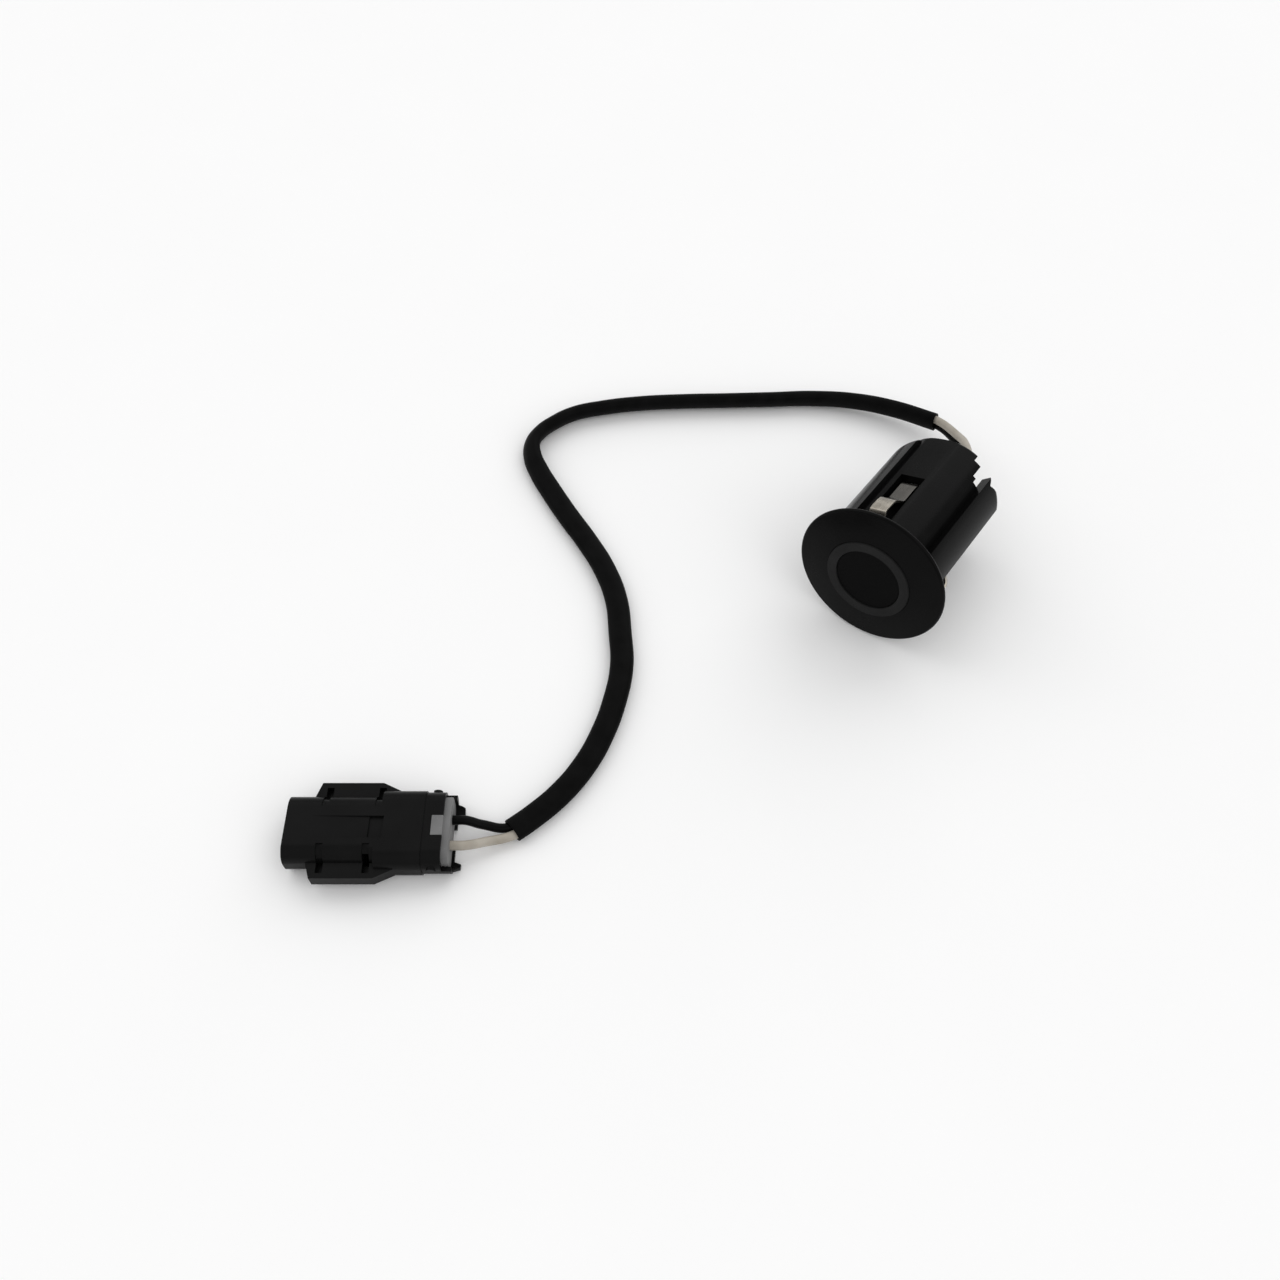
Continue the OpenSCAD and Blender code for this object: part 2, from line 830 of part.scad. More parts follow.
// Upright grooves near both ends of each rail, which run up the hood's side and leave a bar outside
module rail_grooves() {
  groove_y = hood_w / 2 - plug_round;
  groove_w = rail_w / 2 - bar_t - groove_y;
  for (side = [-1, 1])
    for (x = [rail_start + bar_t, side > 0 ? rear_x - groove_len / 2 : rear_x - 2 * bar_t])
      along(x, x + groove_len)
        difference() {
          translate([side > 0 ? groove_y : -groove_y - groove_w, 0])
            square([groove_w, plug_mid + over]);
          oval(hood_w - 2 * groove_sink, plug_h - 2 * groove_sink, plug_round - groove_sink);
        }
}

// Channel on top that a mating connector's latch slides down, with a pocket where it drops in
module latch_channel() {
  pocket_x = rear_x - pocket_lead;
  translate([0, lock_w / 2 - lock_shift, plug_h])
    rotate([90, 0, 0])
      linear_extrude(lock_w)
        polygon([
          [0, lock_rise],
          [pocket_x, -lock_depth],
          [pocket_x, -pocket_depth],
          [pocket_x + pocket_len, -pocket_depth],
          [pocket_x + pocket_len, over],
          [0, over]
        ]);
}

// Round nubs on both sides near the rear, which hold the retainer in
module side_nubs() {
  for (side = [-1, 1])
    translate([step_x + nub_d, side * (rear_w / 2 - rear_wall), plug_mid + nub_lift])
      rotate([-side * 90, 0, 0])
        cylinder(d = nub_d, h = rear_wall + nub_h - step_depth);
}

// Prongs at the rear that guide the wires, cut from the lower wall's outline
module rear_prongs() {
  intersection() {
    along(step_x, plug_len + prong_len)
      oval(rear_w - 2 * step_depth, plug_h - 2 * step_depth, plug_round);
    for (side = [-1, 1])
      translate([0, side * prong_pitch / 2, 0])
        linear_extrude(prong_h)
          polygon([
            [step_x, -prong_w / 2],
            [plug_len, -prong_w / 2],
            [plug_len + prong_len, -prong_w / 4],
            [plug_len + prong_len, prong_w / 4],
            [plug_len, prong_w / 2],
            [step_x, prong_w / 2]
          ]);
  }
}

module plug_retainer() {
  color("#85868a")
    in_plug()
      difference() {
        union() {
          along(retainer_x, plug_len - retainer_set)
            oval(cavity_w - 2 * fit_gap, cavity_h - 2 * fit_gap, cavity_round - fit_gap);
          translate([slot_x + fit_gap, -slot_w / 2 + fit_gap, step_depth])
            cube([slot_len, slot_w - 2 * fit_gap, plug_h - 2 * step_depth]);
        }
        for (side = [-1, 1])
          translate([retainer_x - over, side * pin_pitch / 2, plug_mid])
            rotate([0, 90, 0])
              cylinder(d = wire_d + 4 * fit_gap, h = retainer_t + 2 * over);
      }
}

module wire_seal(side) {
  color("#8a4a3a")
    in_plug()
      translate([seal_x, side * pin_pitch / 2, plug_mid])
        rotate([0, 90, 0])
          rotate_extrude()
            seal_section();
}

// Seal section with three lips
module seal_section() {
  lips = 3;
  lip_w = seal_len / (2 * lips);
  bore = wire_d / 2 + fit_gap;
  translate([bore, 0])
    square([seal_d / 2 - seal_groove - bore, seal_len]);
  for (i = [0 : lips - 1])
    translate([bore, (2 * i + 0.5) * lip_w])
      square([seal_d / 2 - bore, lip_w]);
}

module terminal_pin(side) {
  color("#c8ab5e")
    in_plug()
      translate([0, side * pin_pitch / 2, plug_mid])
        rotate([0, 90, 0])
          rotate_extrude()
            pin_section();
}

// Pin section: a tapered tip, the pin through the wall and the crimp behind it
module pin_section() {
  tip = socket_depth - pin_reach;
  polygon([
    [0, tip],
    [pin_d / 4, tip],
    [pin_d / 2, tip + pin_d],
    [pin_d / 2, cavity_x],
    [crimp_d / 2, cavity_x],
    [crimp_d / 2, crimp_end],
    [0, crimp_end]
  ]);
}

bezel_sleeve();
sensor_housing();
spring_clip(1);  // spring_clip_1
spring_clip(2);  // spring_clip_2
spring_clip(3);  // spring_clip_3
decoupling_ring();
transducer_cup();
piezo_disc();
damping_foam();
piezo_lead(-1);  // piezo_lead_1
piezo_lead(1);  // piezo_lead_2
terminal_board();
tuning_capacitor();
potting();
white_wire();
black_wire();
cable_sleeve();
plug_housing();
plug_retainer();
wire_seal(-1);  // wire_seal_1
wire_seal(1);  // wire_seal_2
terminal_pin(-1);  // terminal_pin_1
terminal_pin(1);  // terminal_pin_2
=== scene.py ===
# %% [markdown]
# # A parking sensor on its lead
# A parking sensor is a small round eye that clips into a hole in a car's bumper.
# This one lies on a table with its lead beside it, and the lead ends in a two-way connector.
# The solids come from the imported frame, in metres, with the table at height zero.

# %% Load the frame
import json
import math

import bpy
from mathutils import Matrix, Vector


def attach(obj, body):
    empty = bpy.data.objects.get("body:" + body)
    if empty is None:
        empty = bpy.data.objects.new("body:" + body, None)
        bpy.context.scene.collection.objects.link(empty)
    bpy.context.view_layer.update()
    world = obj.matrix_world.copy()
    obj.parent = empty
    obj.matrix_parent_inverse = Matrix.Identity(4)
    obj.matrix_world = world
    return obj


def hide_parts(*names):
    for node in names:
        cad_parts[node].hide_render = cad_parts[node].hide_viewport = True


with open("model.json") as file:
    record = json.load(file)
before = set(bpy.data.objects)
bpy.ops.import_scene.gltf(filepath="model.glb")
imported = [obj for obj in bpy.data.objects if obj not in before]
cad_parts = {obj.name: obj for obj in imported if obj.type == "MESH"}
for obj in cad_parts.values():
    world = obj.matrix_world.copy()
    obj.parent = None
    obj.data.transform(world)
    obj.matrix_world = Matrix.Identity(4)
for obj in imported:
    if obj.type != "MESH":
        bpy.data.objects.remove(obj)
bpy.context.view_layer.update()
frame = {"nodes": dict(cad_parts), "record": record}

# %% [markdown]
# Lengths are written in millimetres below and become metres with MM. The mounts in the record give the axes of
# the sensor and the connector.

MM = 0.001
nodes = frame["nodes"]
mounts = {mount["name"]: mount for mount in frame["record"]["mounts"]}

# %% [markdown]
# ## The camera
# A product picture is easiest to match when the camera is settled before anything is dressed.
# The place and the angle were read from the round bezel, whose seen oval gives both the tilt and the scale.
# The aim lies on the table, and a lens of this length on a 36 mm sensor frames the square picture.

# %% Camera
AIM = Vector((-27.11, -36.97, 0)) * MM
AZIMUTH = math.radians(35.9)
ELEVATION = math.radians(56.25)
DISTANCE = 196.54 * MM
LENS = 33.75
SENSOR_WIDTH = 36
NEAR_CLIP = 0.01

backward = Vector((
    math.sin(AZIMUTH) * math.cos(ELEVATION),
    -math.cos(AZIMUTH) * math.cos(ELEVATION),
    math.sin(ELEVATION),
))
bpy.ops.object.camera_add(
    location=AIM + backward * DISTANCE,
    rotation=backward.to_track_quat("Z", "Y").to_euler(),
)
camera = bpy.context.object
camera.name = "photo_camera"
camera.data.lens = LENS
camera.data.sensor_width = SENSOR_WIDTH
camera.data.clip_start = NEAR_CLIP
bpy.context.scene.camera = camera
print("camera at", [round(x / MM, 1) for x in camera.location], "mm")

# %% [markdown]
# ## The route of the lead
# Two insulated wires leave the resin at the back of the sensor, run through one soft vinyl sleeve and end in
# the connector. The route is a list of places on the table, in millimetres, with the height of the sleeve
# above the table as the third number. It is the same list that the solids follow.

# %% Route of the sleeve and the wires
CABLE_ROUTE = [
    (-10, 31, 2), (-18, 30.5, 1), (-25, 28.5, 0.5), (-32, 25, 0), (-38.5, 20, 0),
    (-45, 15, 0), (-51.5, 10, 0), (-57.5, 5, 0), (-62.5, 0, 0), (-66, -4.5, 0),
    (-67.5, -8.5, 0), (-68, -11.5, 0), (-67.5, -14.5, 0), (-65.5, -17, 0), (-62.5, -19, 0),
    (-57.5, -21.5, 0), (-52, -24, 0), (-46, -26.5, 0), (-40, -29.5, 0), (-34.5, -33.5, 0),
    (-30, -38.5, 0), (-26, -43.5, 0), (-23, -49.5, 0), (-21, -55.5, 0), (-20, -61, 0),
    (-20, -67, 0), (-21, -72.5, 0), (-22, -76, 0),
]
WHITE_START = [(1, 15, 9.5), (0.5, 20.5, 9.5), (-1.5, 24.5, 8.5), (-5, 28.5, 6)]
BLACK_START = [(-1, 15, 9.5), (-1, 20, 8.5), (-2, 23.5, 7), (-5, 28.5, 4.5)]
WHITE_FINISH = [(-24, -80, 2)]
BLACK_FINISH = [(-26, -78, 2)]
CABLE_W = 3.8
CABLE_T = 2.6
CABLE_WALL = 0.25
WIRE_D = 1.4
WIRE_GAP = 0.05
EXIT_PITCH = 2
PIN_PITCH = 4
PLUG_LEN = 24
CRIMP_END = 14.5
RESIN_FROM = 7.65
RESIN_TO = 17.65
print("route of", len(CABLE_ROUTE), "points")

# %% [markdown]
# The sleeve is soft and has been squeezed flat. It stands on its edge where it leaves the sensor, leans
# towards the front on the far stretch, and lies flat near the connector. One number per point, the turn,
# says how far its broad side is lifted from the table.

# %% Turn of the flattened sleeve
EDGE_TURN = 80
LEAN_TURN = 60
LEAN_AT = 5
FLAT_FROM = 11
FLAT_TO = 18
TABLE_GAP = 0.07


def path_length(points):
    return sum((b - a).length for a, b in zip(points, points[1:]))


def ease(x):
    x = min(max(x, 0), 1)
    return x * x * (3 - 2 * x)


def turn_at(i):
    if i < FLAT_FROM:
        degrees = EDGE_TURN + (LEAN_TURN - EDGE_TURN) * ease(i / LEAN_AT)
    else:
        degrees = LEAN_TURN * (1 - ease((i - FLAT_FROM) / (FLAT_TO - FLAT_FROM)))
    return math.radians(degrees)


turns = [turn_at(i) for i in range(len(CABLE_ROUTE))]
cable_line = []
for (x, y, height), turn in zip(CABLE_ROUTE, turns):
    support = math.hypot(CABLE_W / 2 * math.sin(turn), CABLE_T / 2 * math.cos(turn))
    cable_line.append(Vector((x, y, height + support + TABLE_GAP)) * MM)
sleeve_length = path_length(cable_line)
print("sleeve", round(sleeve_length / MM, 1), "mm long")

# %% [markdown]
# Inside the sleeve the two wires lie side by side across its broad direction. Outside it each one has a few
# points of its own, and its two ends run straight along the sensor's axis and the connector's axis.
# Those axes are read from the mounts in the record.

# %% Course of each wire
sensor_at = Vector(mounts["bumper_hole"]["pos_m"])
sensor_axis = Vector(mounts["bumper_hole"]["axis"]).normalized()
plug_at = Vector(mounts["plug_socket"]["pos_m"])
plug_axis = -Vector(mounts["plug_socket"]["axis"]).normalized()
plug_side = Vector((0, 0, 1)).cross(plug_axis)


def sensor_point(x, along):
    return sensor_at + Vector((x * MM, 0, 0)) + sensor_axis * along * MM


def plug_point(along, across):
    return plug_at + plug_axis * along * MM + plug_side * across * MM


def broad_way(i):
    before, after = cable_line[max(i - 1, 0)], cable_line[min(i + 1, len(cable_line) - 1)]
    heading = (after - before).normalized()
    level = Vector((0, 0, 1)).cross(heading).normalized()
    return level * math.cos(turns[i]) + heading.cross(level) * math.sin(turns[i])


def wire_course(start, finish, side):
    offset = side * (WIRE_D + WIRE_GAP) / 2 * MM
    exit_x = side * EXIT_PITCH / 2
    pin_y = -side * PIN_PITCH / 2
    return [
        *[sensor_point(exit_x, s) for s in (RESIN_FROM, RESIN_TO, RESIN_TO + 2 * WIRE_D)],
        *[Vector(p) * MM for p in start],
        *[point + broad_way(i) * offset for i, point in enumerate(cable_line)],
        *[Vector(p) * MM for p in finish],
        *[plug_point(s, pin_y) for s in (PLUG_LEN + WIRE_D, PLUG_LEN, CRIMP_END)],
    ]


white_course = wire_course(WHITE_START, WHITE_FINISH, 1)
black_course = wire_course(BLACK_START, BLACK_FINISH, -1)
for name, course in (("white", white_course), ("black", black_course)):
    print(name, "wire", round(path_length(course) / MM, 1), "mm")

# %% [markdown]
# ## Wires as curves
# A wire is drawn as a Bezier curve with automatic handles, so it passes through every point without a kink.
# A bevel depth of half the diameter turns the line into a round wire, filled caps close its ends, and it is
# then made a mesh.

# %% Draw the wires
CURVE_STEPS = 8
ROUND_STEPS = 5
ROUND_SMOOTH = math.radians(50)


def drawn_curve(name, points):
    bpy.ops.object.select_all(action="DESELECT")
    bpy.ops.curve.primitive_bezier_curve_add()
    curve = bpy.context.object
    curve.name = name
    spline = curve.data.splines[0]
    spline.bezier_points.add(len(points) - len(spline.bezier_points))
    for knot, place in zip(spline.bezier_points, points):
        knot.co = place
        knot.handle_left_type = "AUTO"
        knot.handle_right_type = "AUTO"
    curve.data.dimensions = "3D"
    curve.data.resolution_u = CURVE_STEPS
    return curve


def round_wire(name, points):
    wire = drawn_curve(name, points)
    wire.data.bevel_depth = WIRE_D / 2 * MM
    wire.data.bevel_resolution = ROUND_STEPS
    wire.data.use_fill_caps = True
    bpy.ops.object.convert(target="MESH")
    wire = bpy.context.object
    bpy.ops.object.shade_smooth_by_angle(angle=ROUND_SMOOTH)
    return wire


white_wire = round_wire("white_wire_insulation", white_course)
black_wire = round_wire("black_wire_insulation", black_course)
print("wires drawn with", len(white_course), "and", len(black_course), "points")

# %% [markdown]
# ## The vinyl sleeve
# The sleeve is the same kind of curve, with a flattened oval as its bevel object and the turn as its tilt.
# It is then made a mesh, and Solidify gives it the thin wall that shows at both cut ends.

# %% Sweep the sleeve
OVAL_STEPS = 10
SLEEVE_SMOOTH = math.radians(40)


def flattened_tube(name, points, tilts, width, thickness, wall):
    path = drawn_curve(name, points)
    bpy.ops.curve.primitive_bezier_circle_add(radius=1)
    oval = bpy.context.object
    for knot in oval.data.splines[0].bezier_points:
        for part in ("handle_left", "co", "handle_right"):
            x, y, z = getattr(knot, part)
            setattr(knot, part, (x * width / 2, y * thickness / 2, z))
    oval.data.resolution_u = OVAL_STEPS
    path.data.twist_mode = "Z_UP"
    path.data.bevel_mode = "OBJECT"
    path.data.bevel_object = oval
    for knot, tilt in zip(path.data.splines[0].bezier_points, tilts):
        knot.tilt = tilt
    bpy.ops.object.select_all(action="DESELECT")
    path.select_set(True)
    bpy.context.view_layer.objects.active = path
    bpy.ops.object.convert(target="MESH")
    tube = bpy.context.object
    bpy.data.objects.remove(oval)
    shell = tube.modifiers.new("wall", "SOLIDIFY")
    shell.thickness = wall
    shell.offset = -1
    bpy.ops.object.modifier_apply(modifier=shell.name)
    bpy.ops.object.shade_smooth_by_angle(angle=SLEEVE_SMOOTH)
    return tube


cable_sleeve = flattened_tube(
    "vinyl_sleeve", cable_line, turns, CABLE_W * MM, CABLE_T * MM, CABLE_WALL * MM
)
print("sleeve mesh", len(cable_sleeve.data.polygons), "faces")

# %% [markdown]
# ## Finished copies of the moulded pieces
# A solid from CAD has knife-sharp edges, but a moulded or stamped edge is always a little round and catches a
# line of light. Each visible piece is therefore copied, its loose triangles are merged back into flat faces,
# and a small bevel rounds the edges. Blender narrows a bevel until it fits the shortest edge. The connector
# is left with a very thin one, and on the crowded sleeve only faces without area remain, which are dissolved.
# Smooth shading would bend the light over the broad faces too, so weighted normals let the largest face at
# each corner have its way. The copy then stands for the solid in the picture.

# %% Copy a node and round its edges
SAME_POINT = 2e-6
NO_AREA = 1e-6
SAME_PLANE = math.radians(0.4)
SHARP_EDGE = math.radians(32)
BEVEL_STEPS = 2


def finished_copy(node, name, width, crowded):
    bpy.ops.object.select_all(action="DESELECT")
    piece = bpy.data.objects.new(name, nodes[node].data.copy())
    bpy.context.scene.collection.objects.link(piece)
    piece.select_set(True)
    bpy.context.view_layer.objects.active = piece
    bpy.ops.mesh.customdata_custom_splitnormals_clear()
    bpy.ops.object.mode_set(mode="EDIT")
    bpy.ops.mesh.select_all(action="SELECT")
    bpy.ops.mesh.remove_doubles(threshold=SAME_POINT)
    bpy.ops.mesh.dissolve_limited(angle_limit=SAME_PLANE)
    bpy.ops.object.mode_set(mode="OBJECT")
    rounding = piece.modifiers.new("rounded edges", "BEVEL")
    rounding.limit_method = "ANGLE"
    rounding.angle_limit = SHARP_EDGE
    rounding.width = width * MM
    rounding.segments = BEVEL_STEPS
    bpy.ops.object.modifier_apply(modifier=rounding.name)
    if crowded:
        bpy.ops.object.mode_set(mode="EDIT")
        bpy.ops.mesh.select_all(action="SELECT")
        bpy.ops.mesh.remove_doubles(threshold=NO_AREA)
        bpy.ops.mesh.dissolve_degenerate(threshold=NO_AREA)
        bpy.ops.object.mode_set(mode="OBJECT")
    bpy.ops.object.shade_smooth_by_angle(angle=SHARP_EDGE)
    facing = piece.modifiers.new("flat faces", "WEIGHTED_NORMAL")
    facing.keep_sharp = True
    bpy.ops.object.modifier_apply(modifier=facing.name)
    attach(piece, "root")
    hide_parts(node)
    print(name, len(piece.data.polygons), "faces")
    return piece


# %% [markdown]
# The widths are in millimetres. A stamped clip gets less than a moulded part.

# %% Round the visible pieces
ROUNDED = {
    "bezel_sleeve": 0.12,
    "sensor_housing": 0.1,
    "decoupling_ring": 0.12,
    "transducer_cup": 0.15,
    "spring_clip_1": 0.06,
    "spring_clip_2": 0.06,
    "spring_clip_3": 0.06,
    "plug_housing": 0.07,
    "plug_retainer": 0.15,
    "terminal_pin_1": 0.08,
    "terminal_pin_2": 0.08,
}
CROWDED = {"bezel_sleeve"}
dressed = {
    node: finished_copy(node, node + "_finished", width, node in CROWDED) for node, width in ROUNDED.items()
}

# %% [markdown]
# ## Resin that crept up
# Poured resin wets what it touches, so it climbs a little up the housing's wall and up both wires. Each of
# these fillets starts as a circle, which is extruded through a short profile of radius and height and closed
# under the resin's surface. Turning it onto the sensor's axis is the last step.

# %% Turn a fillet
FILLET_SIDES = 48


def turned_fillet(name, profile, centre, axis):
    bpy.ops.object.select_all(action="DESELECT")
    radius, height = profile[0]
    bpy.ops.mesh.primitive_circle_add(vertices=FILLET_SIDES, radius=radius * MM, location=(0, 0, height * MM))
    ring = bpy.context.object
    ring.name = name
    bpy.ops.object.transform_apply(location=True, rotation=False, scale=False)
    bpy.ops.object.mode_set(mode="EDIT")
    bpy.ops.mesh.select_all(action="SELECT")
    for wider, higher in profile[1:]:
        bpy.ops.mesh.extrude_region_move(TRANSFORM_OT_translate={"value": (0, 0, (higher - height) * MM)})
        bpy.ops.transform.resize(value=(wider / radius, wider / radius, 1))
        radius, height = wider, higher
    bpy.ops.mesh.select_all(action="SELECT")
    bpy.ops.mesh.normals_make_consistent(inside=False)
    bpy.ops.object.mode_set(mode="OBJECT")
    ring.location = centre
    ring.rotation_euler = axis.to_track_quat("Z", "Y").to_euler()
    bpy.ops.object.transform_apply(location=True, rotation=True, scale=True)
    bpy.ops.object.shade_smooth_by_angle(angle=ROUND_SMOOTH)
    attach(ring, "root")
    return ring


# %% [markdown]
# A profile lists how far the resin reaches from the wall or the wire, and how high it stands there.

# %% Fillets in the rear recess
WALL_R = 6.38
WIRE_GRIP = 0.02
WIRE_R = WIRE_D / 2 + WIRE_GRIP
WALL_CREEP = [(0, -0.1), (0, 0.55), (0.1, 0.3), (0.3, 0.1), (0.6, 0.02), (0.7, -0.1), (0, -0.1)]
WIRE_CREEP = [(0, -0.1), (0, 0.45), (0.06, 0.25), (0.2, 0.08), (0.4, 0.02), (0.5, -0.1), (0, -0.1)]
wall_profile = [(WALL_R - reach, height) for reach, height in WALL_CREEP]
wire_profile = [(WIRE_R + reach, height) for reach, height in WIRE_CREEP]
fillets = [turned_fillet("resin_wall_fillet", wall_profile, sensor_point(0, RESIN_TO), sensor_axis)]
for colour, side in (("white", 1), ("black", -1)):
    exit_at = sensor_point(side * EXIT_PITCH / 2, RESIN_TO)
    fillets.append(turned_fillet("resin_fillet_" + colour, wire_profile, exit_at, sensor_axis))
print("resin fillets:", len(fillets))

# %% [markdown]
# The wires and the sleeve are attached to the root in place of their solids, which are hidden. The connector
# and its pieces are gathered in a list.

# %% Cords
on_the_end = [dressed[n] for n in ("plug_housing", "plug_retainer", "terminal_pin_1", "terminal_pin_2")]
on_the_end += [nodes["wire_seal_1"], nodes["wire_seal_2"]]

for wire, node, course, side in (
    (white_wire, "white_wire", white_course, 1),
    (black_wire, "black_wire", black_course, -1),
):
    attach(wire, "root")
    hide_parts(node)
    sensor_point(side * EXIT_PITCH / 2, RESIN_TO)
    path_length(course)
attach(cable_sleeve, "root")
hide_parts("cable_sleeve")

# %% [markdown]
# ## Sums in a shader
# A finish is a small tree of nodes. The two classes below let that tree be written as plain sums: a shade is
# the output of a node, and adding, subtracting or multiplying shades adds the Math nodes that do it.

# %% Shades
class Shade:
    def __init__(self, finish, socket):
        self.finish = finish
        self.socket = socket

    def sum(self, operation, first, second):
        return self.finish.add("Math", {"operation": operation}, {0: first, 1: second})

    def __add__(self, other):
        return self.sum("ADD", self, other)

    def __sub__(self, other):
        return self.sum("SUBTRACT", self, other)

    def __mul__(self, other):
        return self.sum("MULTIPLY", self, other)

    __radd__ = __add__

    def ramp(self, low, high):
        ranges = {"From Min": low, "From Max": high}
        return self.finish.add("MapRange", {"clamp": True}, {"Value": self, **ranges})


# %% [markdown]
# A finish owns one material. Its noise is placed by Object coordinates, with sizes given in millimetres.

# %% Finishes
class Finish:
    def __init__(self, name):
        self.material = bpy.data.materials.new(name)
        self.material.use_nodes = True
        self.tree = self.material.node_tree
        self.shader = self.tree.nodes["Principled BSDF"]
        self.place = self.add("TexCoord", {}, {}, "Object")

    def add(self, kind, settings, values, output=0):
        node = self.tree.nodes.new("ShaderNode" + kind)
        for key, value in settings.items():
            setattr(node, key, value)
        for key, value in values.items():
            self.feed(node.inputs[key], value)
        return Shade(self, node.outputs[output])

    def feed(self, socket, value):
        if isinstance(value, Shade):
            self.tree.links.new(value.socket, socket)
        else:
            socket.default_value = value

    def set(self, **values):
        for key, value in values.items():
            self.feed(self.shader.inputs[key.replace("_", " ")], value)

    def noise(self, size_mm, detail, stretch=(1, 1, 1)):
        spot = self.add("Mapping", {}, {"Vector": self.place, "Scale": stretch})
        return self.add("TexNoise", {}, {"Vector": spot, "Scale": 1 / (size_mm * MM), "Detail": detail})

    def blend(self, share, first, second):
        return self.add("Mix", {"data_type": "RGBA"}, {0: share, 6: first, 7: second}, 2)

    def relief(self, height, depth_mm, strength):
        normal = self.add("Bump", {}, {"Height": height, "Distance": depth_mm * MM, "Strength": strength})
        self.set(Normal=normal)


def grey(level):
    return (level, level, level, 1)


# %% [markdown]
# ## Moulded black plastics
# The bezel and its sleeve are satin black, the connector is a shade lighter, and the inner housing is duller.
# A mould leaves a very fine grain, and handling leaves patches that are a little smoother than the rest.
# The grain goes into the bump, and the patches go into the roughness and the colour. With other numbers the
# same recipe serves the grey retainer, the rubber seals and the pieces inside the sensor.

# %% Moulded finishes
PATCH_MM = 4
SPECK_MM = 0.25
SPECK_SHARE = 0.12
PATCH_SWAY = 0.16
GRAIN_SWAY = 0.1
GRAIN_DEPTH = 0.015
MIDDLE = 0.5


def moulded_plastic(name, level, roughness, grain_mm, specular):
    finish = Finish(name)
    patches = finish.noise(PATCH_MM, 2)
    grain = finish.noise(grain_mm, 4)
    specks = finish.noise(SPECK_MM, 1).ramp(0.7, 0.78)
    tone = finish.blend(patches.ramp(0.3, 0.7), grey(level * 0.85), grey(level * 1.15))
    finish.set(
        Base_Color=finish.blend(specks * SPECK_SHARE, tone, grey(level * 4)),
        Roughness=roughness + (patches - MIDDLE) * PATCH_SWAY + (grain - MIDDLE) * GRAIN_SWAY,
        Specular_IOR_Level=specular,
    )
    finish.relief(grain, GRAIN_DEPTH, 0.6)
    return finish.material


# %% [markdown]
# Each row gives the grey level, the roughness, the size of the grain in millimetres and the specular level.

# %% Table of moulded finishes
MOULDED = {
    "bezel_plastic": (0.0025, 0.24, 0.3, 0.05),
    "housing_plastic": (0.004, 0.55, 0.35, 0.06),
    "connector_plastic": (0.005, 0.32, 0.25, 0.07),
    "soft_ring": (0.018, 0.7, 0.4, 0.05),
    "coated_aluminium": (0.0025, 0.5, 0.18, 0.03),
    "retainer_plastic": (0.165, 0.5, 0.3, 0.2),
    "seal_rubber": (0.12, 0.6, 0.3, 0.3),
    "board": (0.06, 0.5, 0.2, 0.4),
    "ceramic": (0.5, 0.4, 0.15, 0.5),
    "foam": (0.1, 0.9, 0.4, 0.1),
    "capacitor_case": (0.3, 0.4, 0.3, 0.5),
}
finishes = {slot: moulded_plastic(slot + "_finish", *row) for slot, row in MOULDED.items()}
print(len(finishes), "moulded finishes")

# %% [markdown]
# ## Vinyl on the wires and the sleeve
# Wire insulation is extruded, so its surface is smooth with faint long waves. The white one has yellowed a
# little and picked up some dust. The sleeve is softer and duller, and squeezing has left it slightly uneven.

# %% Vinyl
WAVE_MM = 2.5
DUST_MM = 0.5
WAVE_SWAY = 0.2
DUST_SWAY = 0.12
WAVE_DEPTH = 0.05


def vinyl(name, clean, aged, roughness, specular):
    finish = Finish(name)
    waves = finish.noise(WAVE_MM, 2)
    dust = finish.noise(DUST_MM, 3)
    finish.set(
        Base_Color=finish.blend(waves.ramp(0.35, 0.75), clean, aged),
        Roughness=roughness + (waves - MIDDLE) * WAVE_SWAY + (dust - MIDDLE) * DUST_SWAY,
        Specular_IOR_Level=specular,
    )
    finish.relief(waves * 0.8 + dust * 0.2, WAVE_DEPTH, 0.5)
    return finish.material


VINYLS = {
    "white_vinyl": ((0.42, 0.385, 0.335, 1), (0.33, 0.3, 0.25, 1), 0.42, 0.2),
    "black_vinyl": (grey(0.002), grey(0.004), 0.36, 0.06),
    "sleeve_vinyl": (grey(0.003), grey(0.005), 0.45, 0.03),
}
for slot, row in VINYLS.items():
    finishes[slot] = vinyl(slot + "_finish", *row)
print(len(VINYLS), "vinyls")

# %% [markdown]
# ## Metals and resin
# The clips are rolled spring steel with fine lines along the strip, which runs along the sensor's axis.
# The strap behind the catch at the front is painted darker as painted shade, and the catch keeps the plain
# steel tone.
# The contact pins are tinned. The resin at the back of the sensor is poured, so it is black, glossy and wavy.

# %% Metals and resin
LINE_MM = 0.12
STAIN_MM = 1.6
LINE_SWAY = 0.25
STAIN_SWAY = 0.1
LINE_DEPTH = 0.006
# Where the painted shade on the clip's strap begins and ends along y, in millimetres
PAINTED_SHADE_FROM = -6
PAINTED_SHADE_TO = -3
SWELL_MM = 3
SWELL_DEPTH = 0.2


def rolled_metal(name, bright, dull, roughness, stretch, painted_shade_share=0):
    finish = Finish(name)
    lines = finish.noise(LINE_MM, 3, stretch)
    stain = finish.noise(STAIN_MM, 2)
    along = finish.add("SeparateXYZ", {}, {0: finish.place}, 1)
    # Painted shade: behind the catch the strap is darkened towards grey along y, by the given share
    painted_strap_shade = along.ramp(PAINTED_SHADE_FROM * MM, PAINTED_SHADE_TO * MM) * painted_shade_share
    tone = finish.blend(stain.ramp(0.35, 0.7), bright, dull)
    finish.set(
        Base_Color=finish.blend(painted_strap_shade, tone, grey(0.05)),
        Metallic=1,
        Roughness=roughness + (lines - MIDDLE) * LINE_SWAY + (stain - MIDDLE) * STAIN_SWAY,
    )
    finish.relief(lines, LINE_DEPTH, 0.5)
    return finish.material


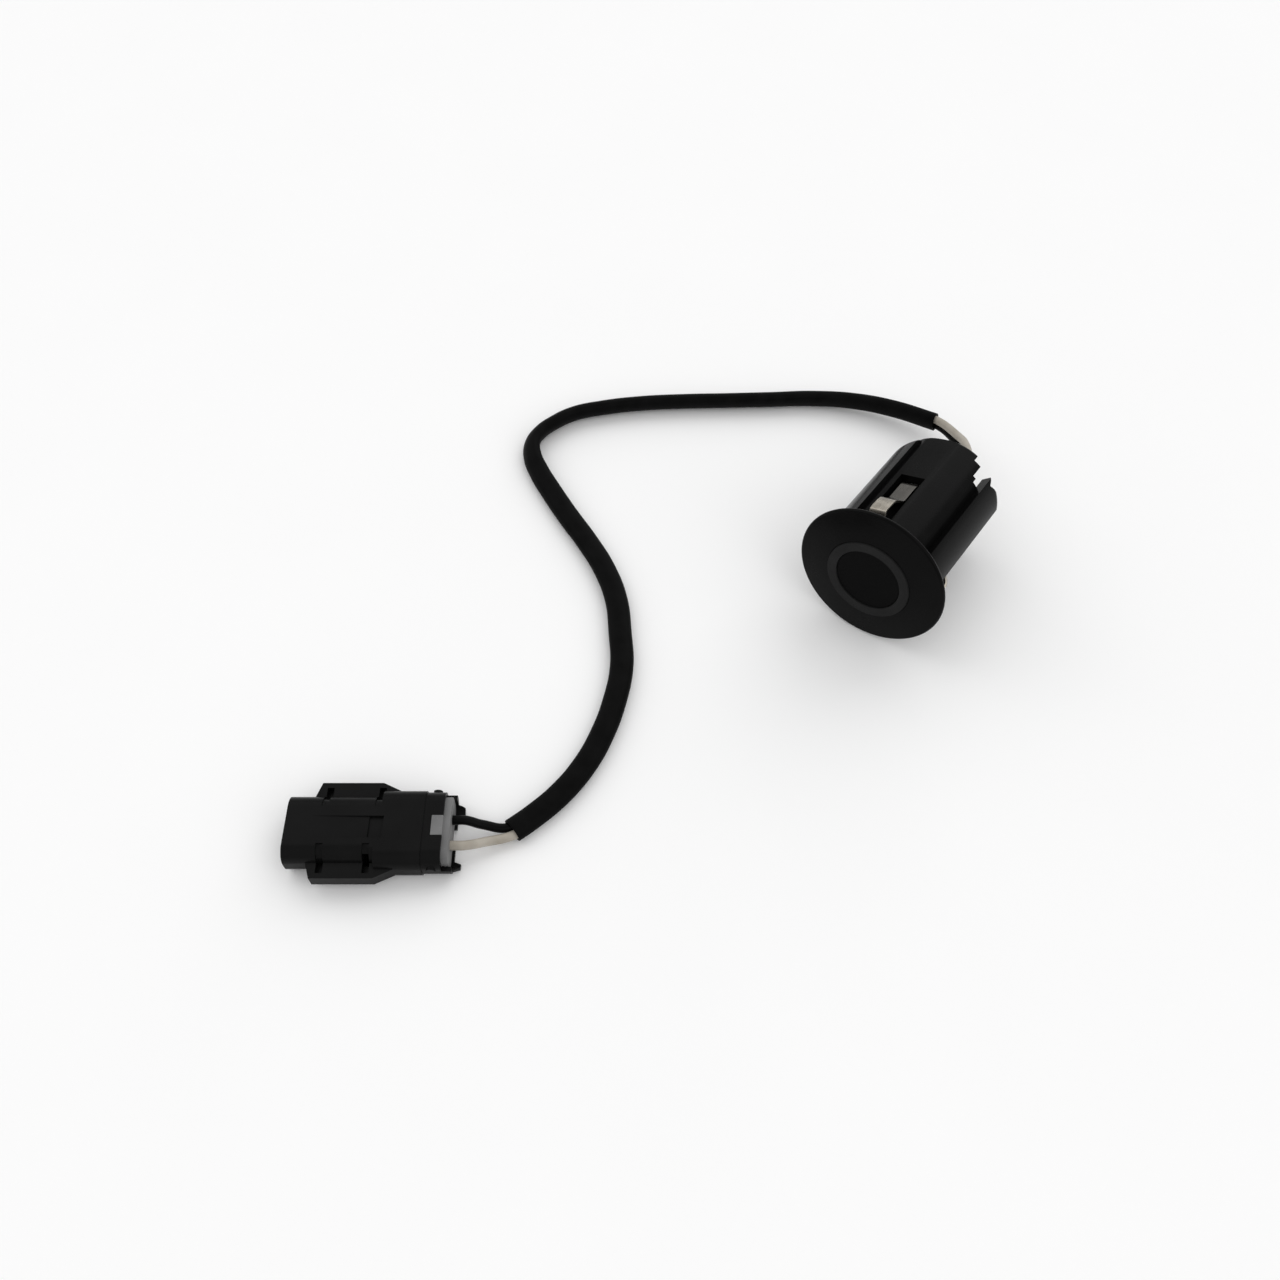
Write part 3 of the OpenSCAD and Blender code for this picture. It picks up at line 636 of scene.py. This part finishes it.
def poured_resin(name):
    finish = Finish(name)
    swell = finish.noise(SWELL_MM, 2)
    finish.set(
        Base_Color=finish.blend(swell, grey(0.006), grey(0.012)),
        Roughness=0.14 + swell * 0.12,
        Specular_IOR_Level=0.4,
    )
    finish.relief(swell, SWELL_DEPTH, 0.5)
    return finish.material


# In the spring steel row the last number is the share of painted shade on the strap
METALS = {
    "spring_steel": ((0.47, 0.437, 0.377, 1), (0.3, 0.275, 0.235, 1), 0.3, (1, 0.06, 1), 0.82),
    "terminal_metal": ((0.72, 0.7, 0.66, 1), (0.58, 0.55, 0.5, 1), 0.3, (1, 1, 0.3)),
    "fine_wire": ((0.8, 0.45, 0.28, 1), (0.6, 0.32, 0.2, 1), 0.35, (1, 1, 1)),
}
for slot, row in METALS.items():
    finishes[slot] = rolled_metal(slot + "_finish", *row)
finishes["resin"] = poured_resin("resin_finish")
print(len(finishes), "finishes in all")

# %% [markdown]
# ## Put the finishes on
# Every piece takes the finish of its material slot in the record, so that a copy and its solid agree.

# %% Assign the finishes
def put_on(piece, material):
    if piece.data.materials:
        for place in piece.material_slots:
            place.material = material
    else:
        piece.data.materials.append(material)


slot_of = {part["node"]: part["material_slot"] for part in frame["record"]["subparts"]}
for node, slot in slot_of.items():
    put_on(nodes[node], finishes[slot])
    if node in dressed:
        put_on(dressed[node], finishes[slot])
put_on(white_wire, finishes["white_vinyl"])
put_on(black_wire, finishes["black_vinyl"])
put_on(cable_sleeve, finishes["sleeve_vinyl"])
for fillet in fillets:
    put_on(fillet, finishes["resin"])
print("finishes on", len(slot_of), "nodes and", len(dressed), "copies")

# %% [markdown]
# ## The table
# The picture has a plain white ground. It comes from the colour of the table and not from more light, which
# would bleach the object as well.

# %% Floor
TABLE_SIZE = 6
MOTTLE_MM = 30
PAPER_DARK = 0.97
PAPER_PALE = 0.985

bpy.ops.object.select_all(action="DESELECT")
bpy.ops.mesh.primitive_plane_add(size=TABLE_SIZE, location=(0, 0, 0))
floor = bpy.context.object
floor.name = "table"
paper = Finish("white_table")
mottle = paper.noise(MOTTLE_MM, 2)
paper.set(
    Base_Color=paper.blend(mottle, grey(PAPER_DARK), grey(PAPER_PALE)),
    Roughness=0.9,
    Specular_IOR_Level=0.1,
)
put_on(floor, paper.material)
print("table of", round(floor.dimensions.x, 1), "m")

# %% [markdown]
# ## Sky and lamps
# About half of the light is an even pale sky. It fills the shadows from all sides.

# %% Sky
SKY_LIGHT = 0.55
world = bpy.data.worlds.new("grey_studio")
bpy.context.scene.world = world
world.use_nodes = True
backdrop = world.node_tree.nodes["Background"].inputs
backdrop["Color"].default_value = (1, 1, 1, 1)
backdrop["Strength"].default_value = SKY_LIGHT
print("sky at", SKY_LIGHT)

# %% [markdown]
# The other half comes from four wide lamps that stand far off, as big softboxes do, so the table is lit evenly
# to its edge, the shadow stays soft and the black plastics show the lamps as quiet highlights. Sky and lamps
# together light a white table to just under white, so every finish renders about as it is written.

# %% Lamps
LAMP_WIDTH = math.radians(60)


def far_softbox(name, place, strength):
    bpy.ops.object.light_add(type="SUN", location=place)
    lamp = bpy.context.object
    lamp.name = name
    lamp.data.angle = LAMP_WIDTH
    lamp.data.energy = strength
    towards = AIM - Vector(place)
    lamp.rotation_euler = towards.to_track_quat("-Z", "Y").to_euler()


LAMPS = {
    "left_softbox": ((-0.65, -0.05, 0.55), 0.6),
    "right_softbox": ((0.6, -0.05, 0.55), 0.6),
    "back_softbox": ((-0.1, 0.75, 0.6), 0.8),
    "front_softbox": ((0.1, -0.8, 0.7), 0.15),
}
for name, (place, strength) in LAMPS.items():
    far_softbox(name, place, strength)
print("lamps:", len(LAMPS))

# %% [markdown]
# ## Finish
# The plain view transform keeps the colours as they are written.

# %% Close
bpy.context.scene.view_settings.view_transform = "Standard"
bpy.context.view_layer.update()
